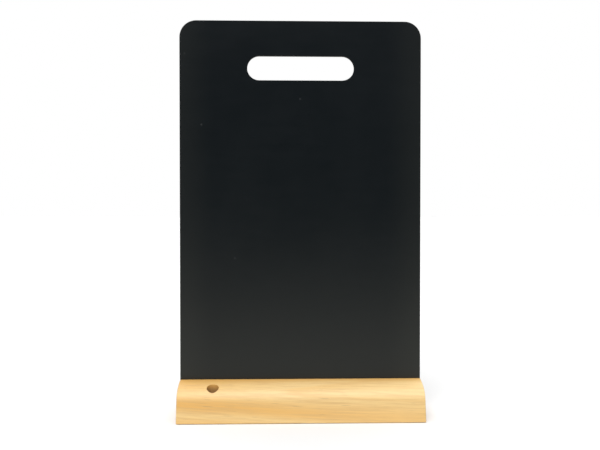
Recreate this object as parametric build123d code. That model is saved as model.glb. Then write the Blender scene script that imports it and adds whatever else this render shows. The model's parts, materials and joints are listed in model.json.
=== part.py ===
from build123d import *

import math
import os

# Tabletop menu chalkboard: a black writing panel with a grip slot that stands in the groove
# of a solid pine base. The base has a drilled hole for a chalk marker and felt pads below.
#
# Millimetres, +Z up. The origin is on the table, under the middle of the base. +X runs along
# the base, to the right of somebody facing the board, and that reader is on the -Y side.

# Panel
panel_width = 210.0
panel_height = 327.0
panel_corner_radius = 14.5
panel_foot_radius = 1.5
core_thickness = 2.0
sheet_thickness = 0.5
sheet_arris = 0.25

# Grip slot through the panel
grip_length = 93.0
grip_height = 21.0
grip_drop = 41.0

# Base moulding
base_length = panel_width
base_depth = 60.0
base_height = 31.1
side_batter_deg = 10.8
crown_radius = 46.0
shoulder_radius = 12.0
underside_arris = 0.5
end_arris = 0.6

# Groove that the panel drops into
groove_clearance = 0.1
groove_depth = 15.0
groove_arris = 0.3

# Chalk marker hole
pen_hole_radius = 5.0
pen_hole_x = -75.2
pen_hole_y = -17.8
pen_hole_floor = 9.0
pen_hole_arris = 0.2
drill_point_deg = 118.0

# Felt pads, let into shallow recesses under the base
pad_radius = 6.0
pad_height = 1.0
pad_arris = 0.2
pad_proud = 0.3
pad_recess_radius = 6.2
pad_inset_x = 14.0
pad_inset_y = 11.0

# Worked out from the above
panel_thickness = core_thickness + 2 * sheet_thickness
base_top = pad_proud + base_height
panel_bottom = base_top - groove_depth
panel_top = panel_bottom + panel_height
grip_middle = panel_top - grip_drop
drill_tip_depth = pen_hole_radius / math.tan(math.radians(drill_point_deg / 2))


def base_profile():
    """Cross-section of the base, seen along X: battered sides, rounded shoulders, crowned top."""
    taller = 2 * base_height
    side_angle = 90 - side_batter_deg
    wedge = Trapezoid(base_depth, taller, side_angle, align=(Align.CENTER, Align.MIN))
    crown = Pos(0, base_height - crown_radius) * Circle(crown_radius)
    outline = wedge & crown
    shoulders = outline.vertices().sort_by(Axis.Y)[-2:]
    outline = fillet(shoulders, shoulder_radius)
    feet = outline.vertices().sort_by(Axis.Y)[:2]
    return fillet(feet, underside_arris)


def groove():
    """The straight slot along the whole base, open at both ends and at the top."""
    width = panel_thickness + 2 * groove_clearance
    return Pos(0, 0, panel_bottom) * Box(
        2 * base_length,
        width,
        2 * groove_depth,
        align=(Align.CENTER, Align.CENTER, Align.MIN),
    )


def pen_hole():
    """Blind hole for the marker, with the cone that a twist drill leaves at its floor."""
    shank = Cylinder(pen_hole_radius, base_height, align=(Align.CENTER, Align.CENTER, Align.MIN))
    tip = Cone(0, pen_hole_radius, drill_tip_depth, align=(Align.CENTER, Align.CENTER, Align.MAX))
    return Pos(pen_hole_x, pen_hole_y, pen_hole_floor) * (shank + tip)


def pad_places():
    """Where the four pads go, by name, on the surface that the board stands on."""
    x = base_length / 2 - pad_inset_x
    y = base_depth / 2 - pad_inset_y
    return {
        "front_left": Pos(-x, -y, 0),
        "rear_left": Pos(-x, y, 0),
        "front_right": Pos(x, -y, 0),
        "rear_right": Pos(x, y, 0),
    }


def pad_recess():
    """What a counterbore for one pad takes out of the base."""
    return Cylinder(pad_recess_radius, pad_height, align=(Align.CENTER, Align.CENTER, Align.MIN))


def base_block():
    """The pine moulding with its groove, marker hole and pad recesses."""
    moulding = extrude(Plane.YZ * base_profile(), amount=base_length / 2, both=True)
    ends = moulding.faces().filter_by(Axis.X)
    moulding = fillet(ends.edges(), end_arris)
    block = Pos(0, 0, pad_proud) * moulding - groove()
    lips = block.edges().filter_by(Axis.X).filter_by_position(Axis.Y, -panel_thickness, panel_thickness)
    block = fillet(lips.group_by(Axis.Z)[-1], groove_arris)
    for place in pad_places().values():
        block -= place * pad_recess()
    block -= pen_hole()
    near_hole = 2 * pen_hole_radius
    rim = block.edges().filter_by(GeomType.BSPLINE)
    rim = rim.filter_by_position(Axis.X, pen_hole_x - near_hole, pen_hole_x + near_hole)
    return fillet(rim, pen_hole_arris)


def panel_outline():
    """Front view of the panel: rounded upper corners, nearly square lower ones, grip slot."""
    sheet = Pos(0, (panel_bottom + panel_top) / 2) * Rectangle(panel_width, panel_height)
    corners = sheet.vertices().sort_by(Axis.Y)
    sheet = fillet(corners[2:], panel_corner_radius)
    corners = sheet.vertices().sort_by(Axis.Y)
    sheet = fillet(corners[:2], panel_foot_radius)
    return sheet - Pos(0, grip_middle) * SlotOverall(grip_length, grip_height)


def panel_layer(rear_y, thickness):
    """A flat layer of the panel that reaches forward, towards -Y, from the plane y = rear_y."""
    return extrude(Plane.XZ.offset(-rear_y) * panel_outline(), amount=thickness)


def panel_core():
    """The fibreboard in the middle of the panel."""
    return panel_layer(core_thickness / 2, core_thickness)


def front_writing_sheet():
    """The black laminate on the front of the core, with its outer edges eased."""
    sheet = panel_layer(-core_thickness / 2, sheet_thickness)
    outer = sheet.faces().sort_by(Axis.Y)[0]
    return fillet(outer.edges(), sheet_arris)


def felt_pad():
    """One round pad, which stands a little proud of its recess."""
    pad = Cylinder(pad_radius, pad_height, align=(Align.CENTER, Align.CENTER, Align.MIN))
    sole = pad.faces().sort_by(Axis.Z)[0]
    return fillet(sole.edges(), pad_arris)


def all_nodes():
    """Every piece of the board by name."""
    nodes = {
        "base_block": base_block(),
        "panel_core": panel_core(),
        "front_writing_sheet": front_writing_sheet(),
        "rear_writing_sheet": mirror(front_writing_sheet(), about=Plane.XZ),
    }
    for corner, place in pad_places().items():
        nodes[f"felt_pad_{corner}"] = place * felt_pad()
    return nodes


os.makedirs("parts", exist_ok=True)
for name, piece in all_nodes().items():
    export_step(piece, f"parts/{name}.step")
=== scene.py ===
import json
import math

import bpy
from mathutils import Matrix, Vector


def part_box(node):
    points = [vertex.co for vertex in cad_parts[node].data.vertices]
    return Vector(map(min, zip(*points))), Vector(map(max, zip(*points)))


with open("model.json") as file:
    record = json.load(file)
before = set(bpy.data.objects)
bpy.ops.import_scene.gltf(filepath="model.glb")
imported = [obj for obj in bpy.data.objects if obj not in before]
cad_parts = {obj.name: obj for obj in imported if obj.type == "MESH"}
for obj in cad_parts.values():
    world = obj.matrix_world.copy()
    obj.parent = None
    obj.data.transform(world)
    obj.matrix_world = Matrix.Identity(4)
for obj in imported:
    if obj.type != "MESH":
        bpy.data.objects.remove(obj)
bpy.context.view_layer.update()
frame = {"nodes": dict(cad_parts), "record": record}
nodes = frame["nodes"]
record = frame["record"]

# Metres, in the row frame: +X along the base, the reader on the -Y side, +Z up.

# Camera: where it stands from the panel's front face, its turn towards +X and its tilt down
CAMERA_X = -0.0176
CAMERA_AHEAD = 0.6316
CAMERA_HEIGHT = 0.1767
CAMERA_YAW = math.radians(1.545)
CAMERA_TILT = math.radians(0.963)
CAMERA_LENS = 43.45

# Key lamp: how wide it looks, and how far it leans from straight above to the front and the left
KEY_ENERGY = 1.42
KEY_WIDTH = math.radians(40)
KEY_FORWARD = math.radians(36)
KEY_LEFT = math.radians(10)

# Floor: half its side, and how far from the board it starts, and ends, to give less light back
FLOOR_HALF = 30.0
FLOOR_NEAR = 0.12
FLOOR_FAR = 1.6

# Pine's growth rings run round a pith that lies under the base, behind it, and not quite in line
# with it: the grain falls towards +X by FALL, less CURL for each metre along
PITH_Y = 0.030
PITH_Z = -0.0527
FALL = 0.048
CURL = 0.12
# each ring: the radius where it is darkest, how far it fades towards the pith and away from it, its depth
RINGS = (
    (0.0560, 0.0020, 0.0055, 0.80),
    (0.0650, 0.0022, 0.0065, 0.90),
    (0.0745, 0.0022, 0.0060, 0.75),
    (0.0846, 0.0052, 0.0084, 1.00),
    (0.0935, 0.0006, 0.0022, 0.40),
    (0.1005, 0.0015, 0.0050, 0.60),
)

# Textures: how many features a metre holds along X, Y and Z
LONG_WAVES = (7.0, 42.0, 42.0)
SHORT_WAVES = (30.0, 260.0, 260.0)
STRANDS = (20.0, 620.0, 620.0)
FIBRES = (60.0, 2400.0, 2400.0)
RESIN_CANALS = (52.0, 1500.0, 1500.0)
SMEARS = (14.0, 14.0, 9.0)
WIPING_MARKS = (30.0, 30.0, 160.0)
DUST = 70.0
ORANGE_PEEL = 900.0
HARDBOARD_LAYERS = (350.0, 5200.0, 350.0)
HARDBOARD_SPECKS = 1500.0
FELT_CLUMPS = 700.0
FELT_HAIRS = (1300.0, 2600.0, 4200.0)


def mount(name):
    """The record's mount of that name."""
    return next(m for m in record["mounts"] if m["name"] == name)


def rgb(r, g, b):
    return (r, g, b, 1.0)


class Shader:
    """A material or world under construction: adds nodes and joins them up."""

    def __init__(self, tree):
        self.tree = tree
        tree.nodes.clear()

    def add(self, kind, **settings):
        node = self.tree.nodes.new(kind)
        for key, value in settings.items():
            setattr(node, key, value)
        return node

    def join(self, source, target):
        self.tree.links.new(source, target)

    def feed(self, socket, value):
        """Sets a socket to a plain value, or links it when given another node's output."""
        if isinstance(value, bpy.types.NodeSocket):
            self.join(value, socket)
        else:
            socket.default_value = value

    def calc(self, operation, a, b=0.0):
        """One sum on one or two values."""
        node = self.add("ShaderNodeMath", operation=operation)
        self.feed(node.inputs[0], a)
        self.feed(node.inputs[1], b)
        return node.outputs[0]

    def weigh(self, a, share_of_a, b, share_of_b):
        """The two values, each times its share, added up."""
        return self.calc("ADD", self.calc("MULTIPLY", a, share_of_a), self.calc("MULTIPLY", b, share_of_b))

    def split(self, vector):
        """The X, Y and Z of a vector."""
        node = self.add("ShaderNodeSeparateXYZ")
        self.join(vector, node.inputs[0])
        return node.outputs

    def combine(self, x, y, z):
        node = self.add("ShaderNodeCombineXYZ")
        for socket, value in zip(node.inputs, (x, y, z)):
            self.feed(socket, value)
        return node.outputs[0]

    def stretch(self, where, factors):
        """The place where, with each axis times its own factor."""
        node = self.add("ShaderNodeVectorMath", operation="MULTIPLY")
        self.feed(node.inputs[0], where)
        self.feed(node.inputs[1], factors)
        return node.outputs[0]

    def ramp(self, value, low, high, to_low=0.0, to_high=1.0, smooth=True):
        """value from low to high becomes to_low to to_high, and no further."""
        node = self.add("ShaderNodeMapRange", interpolation_type="SMOOTHSTEP" if smooth else "LINEAR")
        for name, item in (
            ("Value", value),
            ("From Min", low),
            ("From Max", high),
            ("To Min", to_low),
            ("To Max", to_high),
        ):
            self.feed(node.inputs[name], item)
        return node.outputs["Result"]

    def noise(self, where, scale=1.0, detail=3.0, roughness=0.6):
        node = self.add("ShaderNodeTexNoise")
        self.feed(node.inputs["Vector"], where)
        self.feed(node.inputs["Scale"], scale)
        self.feed(node.inputs["Detail"], detail)
        self.feed(node.inputs["Roughness"], roughness)
        return node.outputs["Fac"]

    def scatter(self, where, scale=1.0):
        """The distance to the nearest of a scatter of points, and three random values of that point."""
        points = self.add("ShaderNodeTexVoronoi")
        self.feed(points.inputs["Vector"], where)
        self.feed(points.inputs["Scale"], scale)
        values = self.add("ShaderNodeSeparateColor")
        self.join(points.outputs["Color"], values.inputs[0])
        return points.outputs["Distance"], values.outputs

    def mix(self, share, a, b):
        """Colour a, with that share of colour b."""
        node = self.add("ShaderNodeMix", data_type="RGBA")
        self.feed(node.inputs[0], share)
        self.feed(node.inputs[6], a)
        self.feed(node.inputs[7], b)
        return node.outputs[2]

    def bump(self, height, distance):
        node = self.add("ShaderNodeBump")
        self.feed(node.inputs["Height"], height)
        self.feed(node.inputs["Distance"], distance)
        return node.outputs["Normal"]

    def unseen_and_seen(self, unseen, seen):
        """One shader for the light it gives to other things, and one for what the camera sees."""
        node = self.add("ShaderNodeMixShader")
        self.join(self.add("ShaderNodeLightPath").outputs["Is Camera Ray"], node.inputs[0])
        self.join(unseen, node.inputs[1])
        self.join(seen, node.inputs[2])
        return node.outputs[0]


def new_material(name):
    """An empty node material, its builder, its shader and the object-space position."""
    material = bpy.data.materials.new(name)
    material.use_nodes = True
    build = Shader(material.node_tree)
    out = build.add("ShaderNodeOutputMaterial")
    surface = build.add("ShaderNodeBsdfPrincipled")
    build.join(surface.outputs[0], out.inputs["Surface"])
    where = build.add("ShaderNodeTexCoord").outputs["Object"]
    return material, build, surface, where


def grain_height(build, x, z):
    """Height measured along the grain, which falls towards +X, and less steeply further along."""
    steepness = build.calc("SUBTRACT", FALL, build.calc("MULTIPLY", x, CURL))
    return build.calc("ADD", z, build.calc("MULTIPLY", x, steepness))


def ring_radius(build, where, y, height):
    """Distance from the pith, which long and short waves push about."""
    wave = build.noise(build.stretch(where, LONG_WAVES), detail=2.0, roughness=0.45)
    ripple = build.noise(build.stretch(where, SHORT_WAVES), detail=2.0, roughness=0.5)
    wave = build.calc("SUBTRACT", wave, 0.5)
    ripple = build.calc("SUBTRACT", ripple, 0.5)
    drift = build.weigh(wave, 0.004, ripple, 0.0014)
    off_y = build.calc("POWER", build.calc("SUBTRACT", y, PITH_Y), 2.0)
    off_z = build.calc("POWER", build.calc("SUBTRACT", height, PITH_Z), 2.0)
    return build.calc("ADD", build.calc("SQRT", build.calc("ADD", off_y, off_z)), drift)


def latewood(build, radius):
    """How deep in a dark band the wood is, 0 to 1."""
    dark = 0.0
    for darkest, inward, outward, depth in RINGS:
        rise = build.ramp(radius, darkest - inward, darkest, 0.0, depth)
        sink = build.ramp(radius, darkest, darkest + outward, 1.0, 0.0)
        dark = build.calc("MAXIMUM", build.calc("MULTIPLY", rise, sink), dark)
    return dark


def resin_dashes(build, along, fibre):
    """1 in the short dark dashes where resin canals come to the surface, of various lengths and broken up."""
    distance, random = build.scatter(build.stretch(along, RESIN_CANALS))
    size = build.ramp(random[1], 0.0, 1.0, 0.10, 0.34, smooth=False)
    dash = build.ramp(build.calc("SUBTRACT", distance, size), -0.14, 0.0, 1.0, 0.0)
    dash = build.calc("MULTIPLY", dash, build.ramp(random[0], 0.60, 0.90))
    return build.calc("MULTIPLY", dash, build.ramp(fibre, 0.36, 0.56, 0.25, 1.0))


def sawn_end(build):
    """1 on the base's two ends, 0 on its planed faces."""
    along_x = build.split(build.add("ShaderNodeTexCoord").outputs["Normal"])[0]
    return build.ramp(build.calc("ABSOLUTE", along_x), 0.25, 0.9)


def in_marker_hole(build, x, y, z):
    """1 on the marker hole's wall and floor, 0 elsewhere, and not on the underside below it."""
    hole = mount("pen_hole")
    hole_x, hole_y, _ = hole["pos_m"]
    wall = hole["dims"]["r_mm"] / 1000
    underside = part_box("base_block")[0].z
    aside = build.calc("POWER", build.calc("SUBTRACT", x, hole_x), 2.0)
    ahead = build.calc("POWER", build.calc("SUBTRACT", y, hole_y), 2.0)
    from_axis = build.calc("SQRT", build.calc("ADD", aside, ahead))
    inside = build.ramp(from_axis, wall + 0.00005, wall + 0.0002, 1.0, 0.0)
    return build.calc("MULTIPLY", inside, build.ramp(z, underside + 0.001, underside + 0.002))


def bare_wood_and_painted_shade(build, z):
    """The marker hole's colour: bare honey wood at its mouth, turned brown further down by painted shade."""
    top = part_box("base_block")[1].z
    near_mouth = build.ramp(z, top - 0.0075, top - 0.0020)
    return build.mix(near_mouth, rgb(0.40, 0.21, 0.060), rgb(0.80, 0.42, 0.085))


def pine_material():
    """Lacquered pine, planed along its length and sawn at its ends."""
    material, build, surface, where = new_material("pine")
    x, y, z = build.split(where)
    height = grain_height(build, x, z)
    rings = latewood(build, ring_radius(build, where, y, height))
    faded_rings = build.calc("MULTIPLY", rings, build.ramp(x, -0.11, 0.13, 1.0, 0.45))
    along = build.combine(x, y, height)
    strand = build.noise(build.stretch(along, STRANDS))
    fibre = build.noise(build.stretch(along, FIBRES))
    dash = resin_dashes(build, along, fibre)
    end = sawn_end(build)
    bored = in_marker_hole(build, x, y, z)

    colour = build.mix(faded_rings, rgb(0.935, 0.660, 0.287), rgb(0.86, 0.48, 0.115))
    colour = build.mix(build.ramp(strand, 0.42, 0.68, 0.0, 0.54), colour, rgb(0.745, 0.45, 0.165))
    colour = build.mix(build.ramp(fibre, 0.45, 0.75, 0.0, 0.28), colour, rgb(0.60, 0.36, 0.15))
    colour = build.mix(build.calc("MULTIPLY", dash, 0.6), colour, rgb(0.38, 0.20, 0.08))

    # painted shade: beside the groove, next to the board, the wood is deepened to a darker, stronger orange
    painted_shade_by_groove = build.ramp(build.calc("ABSOLUTE", y), 0.0015, 0.0135, 0.85, 0.0)
    colour = build.mix(painted_shade_by_groove, colour, rgb(0.78, 0.43, 0.095))

    # sawn ends drink in the lacquer, so they are darker, duller and rougher, with their rings plain to see
    sawn = build.mix(rings, rgb(0.64, 0.38, 0.15), rgb(0.36, 0.165, 0.045))
    colour = build.mix(build.calc("MULTIPLY", end, 0.75), colour, sawn)
    # the marker hole: bare wood, with painted shade darkening it further down
    colour = build.mix(build.calc("MULTIPLY", bored, 0.85), colour, bare_wood_and_painted_shade(build, z))
    build.join(colour, surface.inputs["Base Color"])

    rough = build.ramp(fibre, 0.3, 0.8, 0.50, 0.62)
    rough = build.calc("ADD", rough, build.weigh(end, 0.2, bored, 0.25))
    build.join(rough, surface.inputs["Roughness"])
    surface.inputs["Coat Weight"].default_value = 1.0
    surface.inputs["Coat IOR"].default_value = 1.6
    surface.inputs["Coat Roughness"].default_value = 0.60
    relief = build.weigh(fibre, 0.6, faded_rings, 0.5)
    relief = build.calc("SUBTRACT", relief, build.calc("MULTIPLY", dash, 0.9))
    build.join(build.bump(relief, 0.00006), surface.inputs["Normal"])
    return material


def dust_specks(build, where):
    """1 on a few specks of various sizes, 0 between them."""
    distance, random = build.scatter(where, DUST)
    size = build.ramp(random[0], 0.82, 1.0, 0.0, 0.075, smooth=False)
    speck = build.ramp(build.calc("SUBTRACT", distance, size), -0.02, 0.0, 1.0, 0.0)
    return build.calc("MULTIPLY", speck, build.calc("GREATER_THAN", random[0], 0.86))


def writing_material():
    """Satin near-black laminate: faint smears, a few specks, and painted light that makes it lighter towards
    its left and right sides.
    """
    material, build, surface, where = new_material("writing_surface")
    smear = build.noise(build.stretch(where, SMEARS))
    wiped = build.noise(build.stretch(where, WIPING_MARKS))
    film = build.weigh(smear, 0.6, wiped, 0.4)
    speck = dust_specks(build, where)
    painted_light_at_sides = build.ramp(build.calc("ABSOLUTE", build.split(where)[0]), 0.072, 0.106)

    colour = build.mix(build.ramp(film, 0.35, 0.7), rgb(0.0022, 0.0053, 0.0080), rgb(0.0030, 0.0062, 0.0090))
    colour = build.mix(build.calc("MULTIPLY", speck, 0.4), colour, rgb(0.035, 0.042, 0.048))
    # painted light: the laminate is lightened towards its left and right sides
    colour = build.mix(painted_light_at_sides, colour, rgb(0.0095, 0.0125, 0.0140))
    build.join(colour, surface.inputs["Base Color"])

    rough = build.ramp(film, 0.3, 0.7, 0.29, 0.33)
    build.join(build.calc("ADD", rough, build.calc("MULTIPLY", speck, 0.3)), surface.inputs["Roughness"])
    relief = build.weigh(build.noise(where, ORANGE_PEEL, 2.0, 0.5), 0.5, speck, 0.8)
    build.join(build.bump(relief, 0.00002), surface.inputs["Normal"])
    return material


def fibreboard_material():
    """Cut edge of dark hardboard: fine fibres in layers along the board, sealed but not smooth."""
    material, build, surface, where = new_material("fibreboard")
    layers = build.noise(build.stretch(where, HARDBOARD_LAYERS), roughness=0.65)
    specks = build.noise(where, HARDBOARD_SPECKS, roughness=0.7)
    tone = build.weigh(layers, 0.6, specks, 0.4)
    colour = build.mix(build.ramp(tone, 0.35, 0.65), rgb(0.006, 0.005, 0.0045), rgb(0.017, 0.014, 0.012))
    build.join(colour, surface.inputs["Base Color"])
    build.join(build.ramp(tone, 0.3, 0.7, 0.5, 0.7), surface.inputs["Roughness"])
    build.join(build.bump(tone, 0.00006), surface.inputs["Normal"])
    return material


def felt_material():
    """Pressed felt: short matted fibres and a soft sheen."""
    material, build, surface, where = new_material("felt")
    clump = build.noise(where, FELT_CLUMPS, 4.0, 0.7)
    hair = build.noise(build.stretch(where, FELT_HAIRS), roughness=0.7)
    tone = build.weigh(clump, 0.5, hair, 0.5)
    colour = build.mix(build.ramp(tone, 0.3, 0.7), rgb(0.05, 0.047, 0.043), rgb(0.17, 0.16, 0.15))
    build.join(colour, surface.inputs["Base Color"])
    surface.inputs["Roughness"].default_value = 0.95
    surface.inputs["Sheen Weight"].default_value = 0.4
    surface.inputs["Sheen Roughness"].default_value = 0.5
    build.join(build.bump(tone, 0.00025), surface.inputs["Normal"])
    return material


def dress():
    """Gives each CAD node the material of its slot in the record."""
    made = {
        "pine": pine_material(),
        "writing_surface": writing_material(),
        "fibreboard": fibreboard_material(),
        "felt": felt_material(),
    }
    for part in record["subparts"]:
        piece = nodes[part["node"]]
        piece.data.materials.clear()
        piece.data.materials.append(made[part["material_slot"]])


def floor_material():
    """Pale to look at. Away from the board it gives less light back, as the end of a lit table does."""
    material = bpy.data.materials.new("floor")
    material.use_nodes = True
    build = Shader(material.node_tree)
    out = build.add("ShaderNodeOutputMaterial")
    away = build.add("ShaderNodeVectorMath", operation="LENGTH")
    build.join(build.add("ShaderNodeTexCoord").outputs["Object"], away.inputs[0])
    gone = build.ramp(away.outputs["Value"], FLOOR_NEAR, FLOOR_FAR)
    lit = build.add("ShaderNodeBsdfDiffuse")
    build.join(build.mix(gone, rgb(0.67, 0.645, 0.55), rgb(0.05, 0.05, 0.05)), lit.inputs["Color"])
    seen = build.add("ShaderNodeBsdfDiffuse")
    seen.inputs["Color"].default_value = rgb(0.86, 0.86, 0.86)
    build.join(build.unseen_and_seen(lit.outputs[0], seen.outputs[0]), out.inputs["Surface"])
    return material


def add_floor():
    mesh = bpy.data.meshes.new("floor")
    h = FLOOR_HALF
    mesh.from_pydata([(-h, -h, 0), (h, -h, 0), (h, h, 0), (-h, h, 0)], [], [(0, 1, 2, 3)])
    mesh.materials.append(floor_material())
    floor = bpy.data.objects.new("floor", mesh)
    bpy.context.scene.collection.objects.link(floor)


def add_world():
    """Soft studio light from a big ceiling, over dim walls, seen as plain white paper."""
    world = bpy.data.worlds.new("studio")
    world.use_nodes = True
    bpy.context.scene.world = world
    build = Shader(world.node_tree)
    out = build.add("ShaderNodeOutputWorld")
    x, _, z = build.split(build.add("ShaderNodeTexCoord").outputs["Generated"])
    overhead = build.ramp(z, 0.45, 0.97, 0.02, 1.75)
    beside = build.ramp(build.calc("ABSOLUTE", x), 0.10, 0.60, 0.0, 0.25)
    room = build.add("ShaderNodeBackground")
    room.inputs["Color"].default_value = rgb(1.0, 1.0, 1.0)
    build.join(build.calc("ADD", overhead, beside), room.inputs["Strength"])
    paper = build.add("ShaderNodeBackground")
    paper.inputs["Color"].default_value = rgb(1.0, 1.0, 1.0)
    build.join(build.unseen_and_seen(room.outputs[0], paper.outputs[0]), out.inputs["Surface"])


def add_key():
    """One wide soft lamp, high at the front left."""
    lamp = bpy.data.lights.new("key", "SUN")
    lamp.energy = KEY_ENERGY
    lamp.angle = KEY_WIDTH
    key = bpy.data.objects.new("key", lamp)
    key.rotation_euler = (KEY_FORWARD, -KEY_LEFT, 0)
    bpy.context.scene.collection.objects.link(key)


def add_camera():
    """The reader's view: a little left of the middle, at half the panel's height and almost level."""
    data = bpy.data.cameras.new("camera")
    data.lens = CAMERA_LENS
    data.sensor_width = 36.0
    data.clip_start = 0.01
    data.clip_end = 100.0
    camera = bpy.data.objects.new("camera", data)
    front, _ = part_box("front_writing_sheet")
    camera.location = (CAMERA_X, front.y - CAMERA_AHEAD, CAMERA_HEIGHT)
    camera.rotation_euler = (math.pi / 2 - CAMERA_TILT, 0.0, -CAMERA_YAW)
    bpy.context.scene.collection.objects.link(camera)
    bpy.context.scene.camera = camera


dress()
add_floor()
add_world()
add_key()
add_camera()
bpy.context.scene.view_settings.view_transform = "Standard"
